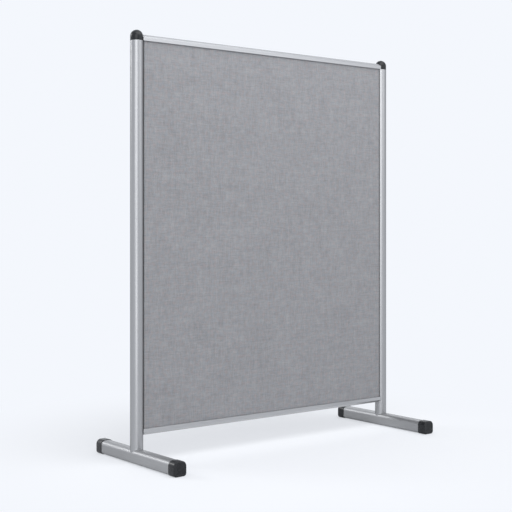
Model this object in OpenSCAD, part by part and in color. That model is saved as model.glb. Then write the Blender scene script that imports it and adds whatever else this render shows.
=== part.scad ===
// Free-standing acoustic divider screen: a fabric-covered panel between two
// round posts, each on a T-foot that can be turned for storage.
// The origin is on the floor, in the middle of the footprint. The front faces -Y.

/* [Panel] */
// Width of the panel, measured in the middle of its thickness
panel_w = 1200; // [700:10:1800]
// Height of the panel over both rails, crown to crown
frame_h = 1474; // [900:1:1900]
// Clear height from the top of a foot to the bottom rail
foot_gap = 48.5; // [35:0.5:200]
// Gap between a post and the hollow side edge of the panel that lies round it
side_gap = 2.5; // [1.2:0.1:3]
// Thickness of the wooden battens and of the absorbers' frame
batten_t = 22; // [15:1:30]
// Width of a batten, in the plane of the panel
batten_w = 30; // [24:1:50]
// Thickness of the soft wadding under the fabric
wadding_t = 3; // [1:0.5:10]
// Thickness of the fabric
fabric_t = 1; // [0.6:0.1:2]
// Thickness of the board in the middle of the panel
septum_t = 3; // [2:0.5:5]
// Depth of the groove that holds the board
septum_groove = 6; // [4:0.5:8]

/* [Rails] */
// Distance by which a rail stands out past the fabric
rail_lip = 5; // [5:0.5:12]
// Height of a rail, from its lips to its crown
rail_h = 24.5; // [19:0.5:40]
// Rise of the rounded crown
crown_h = 11; // [6:0.5:13]
// Wall of the rail extrusion
rail_wall = 1.8; // [1.4:0.1:2.2]
// Depth of the channel that the panel's edge enters
channel_depth = 10; // [8:0.5:11]
// Number of screws in the rear lip of each rail
rail_screw_count = 4; // [3:1:7]
// Distance from the end of a rail to its first screw
rail_screw_inset = 120; // [70:5:200]

/* [Posts] */
// Outer diameter of a post
post_d = 48; // [45:1:60]
// Wall of a post tube
post_wall = 2; // [1.5:0.1:3]
// Drop from the crown of the top rail to the top of a post tube
post_drop = 24.5; // [18:0.5:60]
// Straight skirt of a post cap, below its dome
cap_skirt = 16; // [6:0.5:30]
// Length of a post cap's plug, inside the tube
cap_plug_len = 18; // [10:1:30]
// Height of the threaded insert in the foot of a post
insert_h = 20; // [19:1:40]

/* [Feet] */
// Reach of a foot in front of its post
foot_front = 285; // [180:1:400]
// Reach of a foot behind its post
foot_rear = 249; // [180:1:400]
// Width of a foot tube
foot_w = 50; // [44:1:70]
// Height of a foot tube
foot_h = 50.5; // [44:0.5:60]
// Radius of the two lower edges of a foot tube
foot_r = 10; // [6:0.5:12]
// Radius of the two upper edges of a foot tube
foot_top_r = 17; // [12:0.5:18]
// Wall of a foot tube
foot_wall = 2.5; // [1.5:0.1:3]
// Wall of a foot's end cap
foot_cap_wall = 1.6; // [1.4:0.1:4]
// Length of a foot's end cap
foot_cap_len = 38; // [25:1:60]
// Thickness of the end of an end cap
foot_cap_end = 4; // [2.5:0.1:6]
// Rounding of an end cap's outer edges
foot_cap_edge = 5; // [1:0.5:6]
// Thickness of the seat between a post and the crest of its foot
seat_t = 1.5; // [1:0.1:4]

/* [Foot bolt] */
// Diameter of the bolt that a foot turns on
bolt_d = 10; // [8:0.5:12]
// Diameter of the bolt's head
bolt_head_d = 16; // [14:0.5:18]
// Height of the bolt's head
bolt_head_h = 10; // [8:0.5:12]
// Distance by which the bolt enters the insert
bolt_grip = 18; // [12:0.5:18.5]
// Outer diameter of the plain washer
washer_d = 20; // [18:0.5:21]
// Thickness of the plain washer
washer_t = 2; // [1:0.1:3]
// Thickness of the spring washer
spring_washer_t = 2.2; // [1.5:0.1:3]
// Diameter of the tool hole under a foot
tool_hole_d = 22; // [21.5:0.5:24]
// Length of the clamp plate inside a foot
clamp_len = 60; // [40:1:120]
// Thickness of the clamp plate, at its middle
clamp_t = 5; // [3:0.5:7]

/* [Panel hangers] */
// Distance from a rail's lips to the nearest hanger
hanger_inset = 120; // [60:5:250]
// Diameter of a hanger's screw
stud_d = 6; // [5:0.1:6.5]
// Diameter of the hanger screw's head
stud_head_d = 10.5; // [9:0.1:11]
// Height of the hanger screw's head
stud_head_h = 3.3; // [2:0.1:4]
// Height of a keyhole plate
key_plate_h = 60; // [54:1:90]
// Thickness of a keyhole plate
key_plate_t = 2; // [1.5:0.1:2.5]
// Drop of the panel as it goes onto its hangers
key_travel = 14; // [12:0.5:16]
// Outer diameter of the threaded rivet in a post
rivet_d = 9; // [8:0.1:9.5]
// Length of the threaded rivet
rivet_len = 15; // [10:0.5:17]

/* [Side seals] */
// Width of a side seal, front to back
seal_w = 16; // [14:1:22]

/* [Hidden] */
$fn = 64;

// Overrun of each cut past the face that it opens
overrun = 1;

// Clearances between pieces that fit together
channel_clear = 0.3;
lift_clear = 1;
plug_clear = 0.15;
press_clear = 0.05;
screw_clear = 0.2;
swivel_clear = 0.25;
seal_clear = 0.1;
seal_end_clear = 0.3;
core_clear = 0.2;

// Feet
foot_z = foot_cap_wall + plug_clear;
foot_top = foot_z + foot_h;
foot_ceiling = foot_top - foot_wall;
foot_cap_w = foot_w + 2 * foot_z;
foot_cap_h = foot_h + 2 * foot_z;
foot_rim_len = 10;
foot_rim_wall = 2;
post_z0 = foot_top + seat_t;

// Layers of the panel, from the middle outwards
wadding_y = batten_t / 2;
fabric_y = wadding_y + wadding_t;
panel_t = 2 * (fabric_y + fabric_t);
side_x = panel_w / 2;
floor_gap = foot_top + foot_gap;
frame_top = floor_gap + frame_h;
lower_lip_z = floor_gap + rail_h;
upper_lip_z = frame_top - rail_h;
panel_z0 = lower_lip_z - channel_depth;
panel_z1 = upper_lip_z + channel_depth - lift_clear;

// Wooden frame inside the fabric
batten_x = side_x - fabric_t;
batten_z0 = panel_z0 + fabric_t;
batten_z1 = panel_z1 - fabric_t;
core_x = batten_x - batten_w;
core_z0 = batten_z0 + batten_w;
core_z1 = batten_z1 - batten_w;
septum_reach = septum_groove - core_clear;
groove_t = septum_t + 2 * core_clear;
absorber_y = groove_t / 2;

// Rail section, measured up from the lips
rail_t = panel_t + 2 * rail_lip;
channel_t = panel_t + 2 * channel_clear;
lip_t = (rail_t - channel_t) / 2;
crown_r = (rail_t * rail_t / 4 + crown_h * crown_h) / (2 * crown_h);
crown_y = rail_h - crown_r;
chamber_z = channel_depth + rail_wall;
plug_flange = 1.5;
plug_len = 15;
plug_wall = 1.6;

// Screws in the rear lip of a rail
rail_screw_d = 4;
rail_screw_head_d = 8;
rail_screw_head_h = 2.2;
rail_screw_len = 22;
rail_screw_z = channel_depth / 2;
rail_screw_pitch = (panel_w - 2 * rail_screw_inset) / (rail_screw_count - 1);

// Screws through the side battens into the ends of the others, in the wood beside the groove
corner_screw_d = 4;
corner_screw_head_d = 8;
corner_screw_head_h = 2.2;
corner_screw_len = 55;
corner_screw_pitch = (batten_w - septum_groove) / 2;

// Posts and their caps
post_r = post_d / 2;
post_bore_r = post_r - post_wall;
post_x = side_x + side_gap + post_r;
post_y = (foot_front - foot_rear) / 2;
post_top = frame_top - post_drop;
cap_plug_r = post_bore_r - plug_clear;
cap_wall = 2.5;
cap_rib_count = 3;
cap_rib_h = 1.5;
cap_rib_r = post_bore_r - press_clear;
insert_r = post_bore_r - press_clear;
insert_taper = 2;

// Foot bolt, measured down from the ceiling of the foot tube
bolt_hole_r = bolt_d / 2 + swivel_clear;
washer_z = foot_ceiling - clamp_t - washer_t;
spring_washer_z = washer_z - spring_washer_t;
spring_washer_d = bolt_head_d + 2 * screw_clear;
spring_washer_slot = 2.5;
bolt_head_z = spring_washer_z - bolt_head_h;
socket_w = bolt_head_d / 2;
socket_depth = bolt_head_h / 2;

// Panel hangers, at two heights on each side
hanger_z = [lower_lip_z + hanger_inset, upper_lip_z - hanger_inset];
key_plate_w = batten_t - 2 * core_clear;
key_slot_w = stud_d + 2 * swivel_clear;
key_hole_d = stud_head_d + 4 * swivel_clear;
key_pocket_depth = stud_head_h + key_plate_t;
key_screw_d = 3;
key_screw_head_d = 5.5;
key_screw_head_h = 1.4;
key_screw_len = 14;
key_screw_inset = 7;
rivet_flange_over = 1.2;
rivet_flange_d = rivet_d + 2 * rivet_flange_over;
rivet_flange_t = 0.8;
rivet_hole_r = rivet_d / 2 + screw_clear;
stud_len = rivet_len + side_gap + fabric_t + key_plate_t + screw_clear;

// Bar along Y from y0 to y1, with the outline drawn in X and Z
module along_y(y0, y1) {
    translate([0, y1, 0])
        rotate([90, 0, 0])
            linear_extrude(y1 - y0)
                children();
}

// Bar along X from x0 to x1, with the outline drawn in Y and Z
module along_x(x0, x1) {
    translate([x0, 0, 0])
        rotate([90, 0, 90])
            linear_extrude(x1 - x0)
                children();
}

// Block between two corners
module block(low, high) {
    translate(low)
        cube(high - low);
}

// Rod along X from x0 to x1
module rod_x(x0, x1, r) {
    translate([x0, 0, 0])
        rotate([0, 90, 0])
            cylinder(h = x1 - x0, r = r);
}

// Section of a foot tube, standing on its lower edge and made smaller all round by an inset
module foot_outline(inset) {
    w = foot_w - 2 * inset;
    low_r = foot_r - inset;
    high_r = foot_top_r - inset;
    top = foot_h - inset;
    translate([-w / 2, foot_r])
        square([w, foot_h - foot_r - foot_top_r]);
    translate([low_r - w / 2, inset])
        square([w - 2 * low_r, foot_h - foot_top_r - inset]);
    translate([high_r - w / 2, foot_r])
        square([w - 2 * high_r, top - foot_r]);
    for (side = [-1, 1]) {
        translate([side * (w / 2 - low_r), foot_r]) circle(r = low_r);
        translate([side * (w / 2 - high_r), foot_h - foot_top_r]) circle(r = high_r);
    }
}

// Rectangle of which only the two lower corners are rounded
module end_rounded_rect(w, h, r) {
    translate([-w / 2, r])
        square([w, h - r]);
    translate([r - w / 2, 0])
        square([w - 2 * r, h - r]);
    for (x = [r - w / 2, w / 2 - r])
        translate([x, r])
            circle(r = r);
}

// Countersunk screw along +X, with the top of its head at the origin
module countersunk_screw(d, head_d, head_h, len, slack = 0) {
    rod_x(-slack, len + slack, d / 2 + slack);
    rotate([0, 90, 0])
        cylinder(h = head_h, r1 = head_d / 2 + slack, r2 = d / 2 + slack);
}

// Children on the left side, or mirrored onto the right side
module on_side(side) {
    if (side == "left") children();
    if (side == "right") mirror([1, 0, 0]) children();
}

// Outline of a rail, its channel still filled
module rail_outline() {
    intersection() {
        translate([0, crown_y])
            circle(r = crown_r);
        translate([-rail_t / 2, 0])
            square([rail_t, rail_h]);
    }
    translate([-rail_t / 2, 0])
        square([rail_t, rail_h - crown_h]);
}

// Hollow of a rail's crown, made smaller all round by an inset
module chamber_outline(inset) {
    half_w = rail_t / 2 - rail_wall - inset;
    intersection() {
        translate([0, crown_y])
            circle(r = crown_r - rail_wall - inset);
        translate([-half_w, chamber_z + inset])
            square([2 * half_w, rail_h - chamber_z]);
    }
}

// Outline that the panel's edge takes out of a rail
module channel_outline() {
    translate([-channel_t / 2, -overrun])
        square([channel_t, channel_depth + overrun]);
}

// Full section of a rail, with its channel, crown hollow and lip hollows
module rail_section() {
    pocket_t = lip_t - 2 * rail_wall;
    difference() {
        rail_outline();
        channel_outline();
        chamber_outline(0);
        for (y = [-rail_t / 2 + rail_wall, channel_t / 2 + rail_wall])
            translate([y, rail_wall])
                square([pocket_t, channel_depth - rail_wall]);
    }
}

// Children drawn up from the lips, at the top rail or turned over at the bottom
module at_rail(level) {
    if (level == "top")
        translate([0, post_y, upper_lip_z]) children();
    if (level == "bottom")
        translate([0, post_y, lower_lip_z]) mirror([0, 0, 1]) children();
}

// Every screw of one rail, or the holes for them
module rail_screw_row(slack = 0) {
    for (i = [0:rail_screw_count - 1])
        translate([i * rail_screw_pitch + rail_screw_inset - side_x, rail_t / 2, rail_screw_z])
            rotate([0, 0, -90])
                countersunk_screw(
                    rail_screw_d, rail_screw_head_d, rail_screw_head_h, rail_screw_len, slack);
}

// Holes for the screws of both rails, through the layers that they enter
module rail_screw_holes(slack) {
    at_rail("top") rail_screw_row(slack);
    at_rail("bottom") rail_screw_row(slack);
}

// Outside of a post, as a cutter for what lies round it
module post_shadow(slack) {
    translate([-post_x, post_y, 0])
        cylinder(h = frame_top, r = post_r + slack);
}

// Rail extrusion, hollowed out at its ends to fit round the posts
module rail(level) {
    color("silver")
        difference() {
            at_rail(level)
                difference() {
                    along_x(-post_x, post_x) rail_section();
                    rail_screw_row(screw_clear);
                }
            for (side = ["left", "right"])
                on_side(side) post_shadow(side_gap);
        }
}

// End plug: a cup in the hollow of the rail's crown, flush with the rail's end
module end_plug(level, side) {
    color("silver")
        on_side(side)
            difference() {
                at_rail(level)
                    difference() {
                        along_x(-post_x, plug_len - side_x)
                            chamber_outline(plug_clear);
                        along_x(plug_flange - side_x, plug_len + overrun - side_x)
                            chamber_outline(plug_clear + plug_wall);
                    }
                post_shadow(side_gap);
            }
}

// Screws that hold the rails to the battens, from the rear
module rail_screws() {
    color("silver") {
        at_rail("top") rail_screw_row();
        at_rail("bottom") rail_screw_row();
    }
}

// Each place where a batten's end meets a side batten, with two screws
module corner_screw_rows(slack = 0) {
    for (side = ["left", "right"])
        on_side(side)
            for (z = [batten_z0 + corner_screw_pitch, batten_z1 - corner_screw_pitch],
                 offset_z = [-corner_screw_pitch / 2, corner_screw_pitch / 2])
                translate([-batten_x, post_y, z + offset_z]) {
                    countersunk_screw(
                        corner_screw_d, corner_screw_head_d, corner_screw_head_h,
                        corner_screw_len, slack);
                    if (slack > 0)
                        rod_x(-overrun, 0, corner_screw_head_d / 2 + slack);
                }
}

// Screws at the corners of the wooden frame
module corner_screws() {
    color("dimgray")
        corner_screw_rows();
}

// Children at each hanger of one side, with the panel's edge at x = 0 and inwards as +X
module at_hangers(side) {
    on_side(side)
        for (z = hanger_z)
            translate([-side_x, post_y, z])
                children();
}

// Opening in the panel's side for the screw's head and its travel
module key_window(x0, x1) {
    half_w = key_hole_d / 2 + swivel_clear;
    block([x0, -half_w, -key_travel - half_w], [x1, half_w, half_w]);
}

// Keyhole through the plate: the narrow slot lies above the round hole
module keyhole_cut() {
    x0 = fabric_t - overrun;
    x1 = fabric_t + key_plate_t + overrun;
    rod_x(x0, x1, key_slot_w / 2);
    block([x0, -key_slot_w / 2, -key_travel], [x1, key_slot_w / 2, 0]);
    translate([0, 0, -key_travel])
        rod_x(x0, x1, key_hole_d / 2);
}

// Lowest and highest edge of a keyhole plate, from the hanger's height
key_plate_z0 = -(key_travel + key_plate_h) / 2;
key_plate_z1 = (key_plate_h - key_travel) / 2;

// The two screws of one keyhole plate, or the holes for them
module key_plate_screw_pair(slack = 0) {
    for (z = [key_plate_z0 + key_screw_inset, key_plate_z1 - key_screw_inset])
        translate([fabric_t, 0, z])
            countersunk_screw(
                key_screw_d, key_screw_head_d, key_screw_head_h, key_screw_len, slack);
}

// Plate let into a side batten, which drops over the head of a hanger screw
module keyhole_plates() {
    color("gainsboro")
        for (side = ["left", "right"])
            at_hangers(side)
                difference() {
                    block([fabric_t, -key_plate_w / 2, key_plate_z0],
                          [fabric_t + key_plate_t, key_plate_w / 2, key_plate_z1]);
                    keyhole_cut();
                    key_plate_screw_pair(screw_clear);
                }
}

// Small screws of the keyhole plates
module keyhole_plate_screws() {
    color("dimgray")
        for (side = ["left", "right"])
            at_hangers(side)
                key_plate_screw_pair();
}

// Headed screws in the posts that carry the panel
module hanger_screws() {
    head_x = fabric_t + key_plate_t + screw_clear;
    color("dimgray")
        for (side = ["left", "right"])
            at_hangers(side) {
                rod_x(head_x - stud_len, head_x, stud_d / 2);
                rod_x(head_x, head_x + stud_head_h, stud_head_d / 2);
            }
}

// Threaded rivets in the posts' inner sides, which the hanger screws enter
module post_rivets() {
    color("gainsboro")
        for (side = ["left", "right"]) {
            difference() {
                at_hangers(side) rod_x(-side_gap - post_wall, -side_gap + rivet_flange_t,
                                       rivet_flange_d / 2);
                at_hangers(side) rod_x(-side_gap - rivet_len, side_gap, stud_d / 2 + press_clear);
                on_side(side) post_shadow(press_clear);
            }
            at_hangers(side)
                difference() {
                    rod_x(-side_gap - rivet_len, -side_gap + rivet_flange_t, rivet_d / 2);
                    rod_x(-side_gap - rivet_len - overrun, side_gap, stud_d / 2 + press_clear);
                }
        }
}

// Round post tube
module post(side) {
    color("silver")
        difference() {
            on_side(side)
                translate([-post_x, post_y, post_z0])
                    difference() {
                        cylinder(h = post_top - post_z0, r = post_r);
                        translate([0, 0, -overrun])
                            cylinder(h = post_top - post_z0 + 2 * overrun, r = post_bore_r);
                    }
            at_hangers(side) rod_x(-side_gap - 2 * post_wall, 0, rivet_hole_r);
        }
}

// Half of a ball, flat side down
module half_ball(r) {
    rotate_extrude()
        intersection() {
            circle(r = r);
            square([r, r]);
        }
}

// Hollow domed cap on a post, with a ribbed plug in the tube
module post_cap(side) {
    hollow_r = cap_plug_r - cap_wall;
    rib_pitch = cap_plug_len / cap_rib_count;
    color([0.2, 0.2, 0.22])
        on_side(side)
            translate([-post_x, post_y, post_top])
                difference() {
                    union() {
                        cylinder(h = cap_skirt, r = post_r);
                        translate([0, 0, cap_skirt]) half_ball(post_r);
                        translate([0, 0, -cap_plug_len])
                            cylinder(h = cap_plug_len, r = cap_plug_r);
                        for (i = [1:cap_rib_count])
                            translate([0, 0, -i * rib_pitch])
                                cylinder(h = cap_rib_h, r = cap_rib_r);
                    }
                    translate([0, 0, -cap_plug_len - overrun])
                        cylinder(h = cap_plug_len + overrun + cap_skirt, r = hollow_r);
                    translate([0, 0, cap_skirt]) half_ball(hollow_r);
                }
}

// Threaded insert that closes the lower end of a post
module post_insert(side) {
    color("gainsboro")
        on_side(side)
            translate([-post_x, post_y, post_z0])
                difference() {
                    union() {
                        cylinder(h = insert_h - insert_taper, r = insert_r);
                        translate([0, 0, insert_h - insert_taper])
                            cylinder(h = insert_taper, r1 = insert_r, r2 = insert_r - insert_taper);
                    }
                    translate([0, 0, -overrun])
                        cylinder(h = insert_h + 2 * overrun, r = bolt_d / 2 + press_clear);
                }
}

// Foot tube, with the bolt's hole above and the tool's hole below
module foot_tube(side) {
    end_y0 = foot_cap_end - foot_front;
    end_y1 = foot_rear - foot_cap_end;
    color("silver")
        on_side(side)
            translate([-post_x, post_y, foot_z])
                difference() {
                    along_y(end_y0, end_y1) foot_outline(0);
                    along_y(end_y0 - overrun, end_y1 + overrun) foot_outline(foot_wall);
                    translate([0, 0, foot_h / 2])
                        cylinder(h = foot_h, r = bolt_hole_r);
                    translate([0, 0, -overrun])
                        cylinder(h = foot_wall + 2 * overrun, r = tool_hole_d / 2);
                }
}

// Seat under a post: flat above, and shaped below to the crest of the foot
module foot_seat(side) {
    color("silver")
        on_side(side)
            translate([-post_x, post_y, foot_z])
                difference() {
                    translate([0, 0, foot_h - foot_top_r])
                        cylinder(h = foot_top_r + seat_t, r = post_r);
                    along_y(-post_d, post_d) foot_outline(-press_clear);
                    cylinder(h = foot_h + seat_t + overrun, r = bolt_hole_r);
                }
}

// End cap drawn with its closed end at y = 0 and its mouth at +Y
module foot_cap_body() {
    rim_inset = foot_wall + plug_clear;
    difference() {
        intersection() {
            translate([0, 0, foot_z])
                along_y(0, foot_cap_len) foot_outline(-foot_z);
            linear_extrude(foot_cap_h)
                end_rounded_rect(foot_cap_w, foot_cap_len, foot_cap_edge);
            translate([-foot_cap_w / 2, 0, foot_cap_h / 2])
                rotate([0, 90, 0])
                    linear_extrude(foot_cap_w)
                        end_rounded_rect(foot_cap_h, foot_cap_len, foot_cap_edge);
        }
        translate([0, 0, foot_z])
            along_y(foot_cap_end, foot_cap_len + overrun) foot_outline(-plug_clear);
    }
    translate([0, 0, foot_z])
        along_y(foot_cap_end, foot_cap_end + foot_rim_len)
            difference() {
                foot_outline(rim_inset);
                foot_outline(rim_inset + foot_rim_wall);
            }
}

// End cap of a foot, over the tube's front or rear end
module foot_cap(side, end) {
    color([0.2, 0.2, 0.22])
        on_side(side)
            translate([-post_x, post_y, 0]) {
                if (end == "front")
                    translate([0, -foot_front, 0]) foot_cap_body();
                if (end == "rear")
                    translate([0, foot_rear, 0]) mirror([0, 1, 0]) foot_cap_body();
            }
}

// Plate inside the foot that spreads the bolt's load, and fills the arch of the tube
module clamp_plate(side) {
    color("gainsboro")
        on_side(side)
            translate([-post_x, post_y, 0])
                difference() {
                    translate([0, 0, foot_z])
                        along_y(-clamp_len / 2, clamp_len / 2)
                            foot_outline(foot_wall + press_clear);
                    block([-foot_w, -clamp_len, 0],
                          [foot_w, clamp_len, foot_ceiling - clamp_t]);
                    cylinder(h = foot_top, r = bolt_hole_r);
                }
}

// Plain washer on the clamp plate
module foot_washer(side) {
    color("gainsboro")
        on_side(side)
            translate([-post_x, post_y, washer_z])
                difference() {
                    cylinder(h = washer_t, r = washer_d / 2);
                    translate([0, 0, -overrun])
                        cylinder(h = washer_t + 2 * overrun, r = bolt_d / 2 + screw_clear);
                }
}

// Split spring washer that keeps the joint's grip
module spring_washer(side) {
    color("dimgray")
        on_side(side)
            translate([-post_x, post_y, spring_washer_z])
                difference() {
                    cylinder(h = spring_washer_t, r = spring_washer_d / 2);
                    translate([0, 0, -overrun])
                        cylinder(h = spring_washer_t + 2 * overrun, r = bolt_d / 2 + screw_clear);
                    block([-spring_washer_slot / 2, 0, -overrun],
                          [spring_washer_slot / 2, spring_washer_d, spring_washer_t + overrun]);
                }
}

// Socket-head bolt that holds a foot to its post
module foot_bolt(side) {
    color("dimgray")
        on_side(side)
            translate([-post_x, post_y, bolt_head_z])
                difference() {
                    union() {
                        cylinder(h = bolt_head_h, r = bolt_head_d / 2);
                        cylinder(h = post_z0 + bolt_grip - bolt_head_z, r = bolt_d / 2);
                    }
                    translate([0, 0, -overrun])
                        cylinder(h = socket_depth + overrun, r = socket_w / sqrt(3), $fn = 6);
                }
}

// Slice of the panel from y0 to y1, made smaller by an inset; its sides are hollow, round the posts
module panel_layer(y0, y1, inset) {
    difference() {
        block([-post_x, y0, panel_z0 + inset], [post_x, y1, panel_z1 - inset]);
        for (x = [-post_x, post_x])
            translate([x, 0, 0])
                cylinder(h = frame_top, r = post_r + side_gap + inset);
    }
}

// Fabric drawn over one face and turned in over the edges, to the middle of the panel
module fabric_cover() {
    difference() {
        panel_layer(-panel_t / 2, 0, 0);
        panel_layer(-fabric_y, overrun, fabric_t);
    }
}

// Fabric of the front
module front_fabric() {
    color([0.62, 0.62, 0.64])
        difference() {
            translate([0, post_y, 0]) fabric_cover();
            for (side = ["left", "right"])
                at_hangers(side) key_window(-overrun, fabric_t + overrun);
        }
}

// Fabric of the rear, pierced by the rail screws
module rear_fabric() {
    color([0.62, 0.62, 0.64])
        difference() {
            translate([0, post_y, 0]) mirror([0, 1, 0]) fabric_cover();
            for (side = ["left", "right"])
                at_hangers(side) key_window(-overrun, fabric_t + overrun);
            rail_screw_holes(screw_clear);
        }
}

// Soft layer between the absorber and the fabric
module wadding_sheet() {
    panel_layer(-fabric_y, -wadding_y, fabric_t);
}

// Wadding of the front
module front_wadding() {
    color("whitesmoke")
        translate([0, post_y, 0]) wadding_sheet();
}

// Wadding of the rear, pierced by the rail screws
module rear_wadding() {
    color("whitesmoke")
        difference() {
            translate([0, post_y, 0]) mirror([0, 1, 0]) wadding_sheet();
            rail_screw_holes(screw_clear);
        }
}

// Sound-absorbing slab between the board and the wadding
module absorber_slab() {
    block([-core_x, -wadding_y, core_z0], [core_x, -absorber_y, core_z1]);
}

// Absorber of the front
module front_absorber() {
    color("khaki")
        translate([0, post_y, 0]) absorber_slab();
}

// Absorber of the rear
module rear_absorber() {
    color("khaki")
        translate([0, post_y, 0]) mirror([0, 1, 0]) absorber_slab();
}

// Board in the middle of the panel, or its groove in the battens
module septum_shape(reach, t) {
    block([-core_x - reach, -t / 2, core_z0 - reach], [core_x + reach, t / 2, core_z1 + reach]);
}

// Board that stops sound from passing straight through
module septum_board() {
    color("peru")
        translate([0, post_y, 0]) septum_shape(septum_reach, septum_t);
}

// Everything that is cut out of the battens
module batten_cuts() {
    translate([0, post_y, 0]) septum_shape(septum_groove, groove_t);
    rail_screw_holes(press_clear);
    corner_screw_rows(press_clear);
}

// Batten between the side battens, at the top or the bottom
module cross_batten(z0) {
    color("burlywood")
        difference() {
            translate([0, post_y, 0])
                block([-core_x, -batten_t / 2, z0], [core_x, batten_t / 2, z0 + batten_w]);
            batten_cuts();
        }
}

// Upright batten with a hollow outer edge and the recesses of its two hangers
module side_batten(side) {
    color("burlywood")
        difference() {
            on_side(side)
                translate([0, post_y, 0])
                    block([-post_x, -batten_t / 2, batten_z0], [-core_x, batten_t / 2, batten_z1]);
            on_side(side) post_shadow(side_gap + fabric_t);
            batten_cuts();
            at_hangers(side) {
                block([-overrun, -key_plate_w / 2 - core_clear / 2, key_plate_z0 - core_clear / 2],
                      [fabric_t + key_plate_t, key_plate_w / 2 + core_clear / 2,
                       key_plate_z1 + core_clear / 2]);
                key_window(fabric_t, fabric_t + key_plate_t + key_pocket_depth);
                key_plate_screw_pair(press_clear);
            }
        }
}

// Dark strip that closes the gap between the panel's edge and the post
module side_seal(side) {
    color([0.12, 0.12, 0.13])
        difference() {
            intersection() {
                on_side(side)
                    translate([0, post_y, 0])
                        block([-post_x, -seal_w / 2, lower_lip_z + seal_end_clear],
                              [-side_x, seal_w / 2, upper_lip_z - seal_end_clear]);
                on_side(side) post_shadow(side_gap - seal_clear);
            }
            on_side(side) post_shadow(seal_clear);
            at_hangers(side) key_window(-post_r, overrun);
        }
}

post("left");  // left_post
post("right");  // right_post
post_cap("left");  // left_post_cap
post_cap("right");  // right_post_cap
post_insert("left");  // left_post_insert
post_insert("right");  // right_post_insert
foot_tube("left");  // left_foot_tube
foot_tube("right");  // right_foot_tube
foot_seat("left");  // left_foot_seat
foot_seat("right");  // right_foot_seat
foot_cap("left", "front");  // left_foot_front_cap
foot_cap("left", "rear");  // left_foot_rear_cap
foot_cap("right", "front");  // right_foot_front_cap
foot_cap("right", "rear");  // right_foot_rear_cap
clamp_plate("left");  // left_clamp_plate
clamp_plate("right");  // right_clamp_plate
foot_bolt("left");  // left_foot_bolt
foot_bolt("right");  // right_foot_bolt
foot_washer("left");  // left_foot_washer
foot_washer("right");  // right_foot_washer
spring_washer("left");  // left_spring_washer
spring_washer("right");  // right_spring_washer
rail("top");  // top_rail
rail("bottom");  // bottom_rail
end_plug("top", "left");  // top_left_end_plug
end_plug("top", "right");  // top_right_end_plug
end_plug("bottom", "left");  // bottom_left_end_plug
end_plug("bottom", "right");  // bottom_right_end_plug
rail_screws();
front_fabric();
rear_fabric();
front_wadding();
rear_wadding();
front_absorber();
rear_absorber();
septum_board();
cross_batten(batten_z1 - batten_w);  // top_batten
cross_batten(batten_z0);  // bottom_batten
side_batten("left");  // left_batten
side_batten("right");  // right_batten
corner_screws();
keyhole_plates();
keyhole_plate_screws();
hanger_screws();
post_rivets();
side_seal("left");  // left_side_seal
side_seal("right");  // right_side_seal
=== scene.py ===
"""Looks of the free-standing acoustic screen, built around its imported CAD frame.

Metres throughout. The origin is on the floor in the middle of the footprint, and the front faces
-Y.
"""

import math

import bmesh
import bpy
import numpy as np
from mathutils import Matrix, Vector


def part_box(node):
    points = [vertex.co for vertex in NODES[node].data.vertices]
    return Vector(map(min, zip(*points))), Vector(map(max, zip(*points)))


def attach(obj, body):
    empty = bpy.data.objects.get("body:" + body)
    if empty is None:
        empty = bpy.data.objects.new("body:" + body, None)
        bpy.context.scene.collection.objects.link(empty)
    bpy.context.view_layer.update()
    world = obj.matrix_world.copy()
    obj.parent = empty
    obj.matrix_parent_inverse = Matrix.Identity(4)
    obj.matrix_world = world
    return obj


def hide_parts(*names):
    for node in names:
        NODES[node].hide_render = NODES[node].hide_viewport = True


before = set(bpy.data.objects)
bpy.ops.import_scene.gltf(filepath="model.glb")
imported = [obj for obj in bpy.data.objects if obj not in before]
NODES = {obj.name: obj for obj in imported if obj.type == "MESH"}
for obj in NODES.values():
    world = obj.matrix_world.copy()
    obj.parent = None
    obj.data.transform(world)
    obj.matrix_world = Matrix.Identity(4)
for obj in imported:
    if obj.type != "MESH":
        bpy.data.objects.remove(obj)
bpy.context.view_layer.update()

SIDES = {"left": -1, "right": 1}
COVERS = {"front": -1, "rear": 1}

# Places read from the frame: the panel, its rails and its posts
FACE_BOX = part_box("front_fabric")
MID_Y = FACE_BOX[1].y
HALF_T = MID_Y - FACE_BOX[0].y
PANEL_Z = (FACE_BOX[0].z, FACE_BOX[1].z)
PANEL_MID_Z = sum(PANEL_Z) / 2
LIP_Z = (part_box("bottom_rail")[1].z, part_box("top_rail")[0].z)
POST_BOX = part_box("right_post")
POST_X = (POST_BOX[0].x + POST_BOX[1].x) / 2
POST_R = (POST_BOX[1].x - POST_BOX[0].x) / 2
COVE_R = math.hypot(POST_X - FACE_BOX[1].x, HALF_T)


# Camera

camera_data = bpy.data.cameras.new("camera")
camera_data.lens = 77.5
camera_data.sensor_width = 36
camera_data.shift_y = -0.0650
camera_data.clip_start = 0.05
camera_data.clip_end = 200
camera = bpy.data.objects.new("camera", camera_data)
camera.location = (-2.7907, -3.4268, 0.882)
camera.rotation_euler = (math.radians(90), 0, math.radians(-38.32))
bpy.context.scene.collection.objects.link(camera)
bpy.context.scene.camera = camera


# Materials

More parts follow.
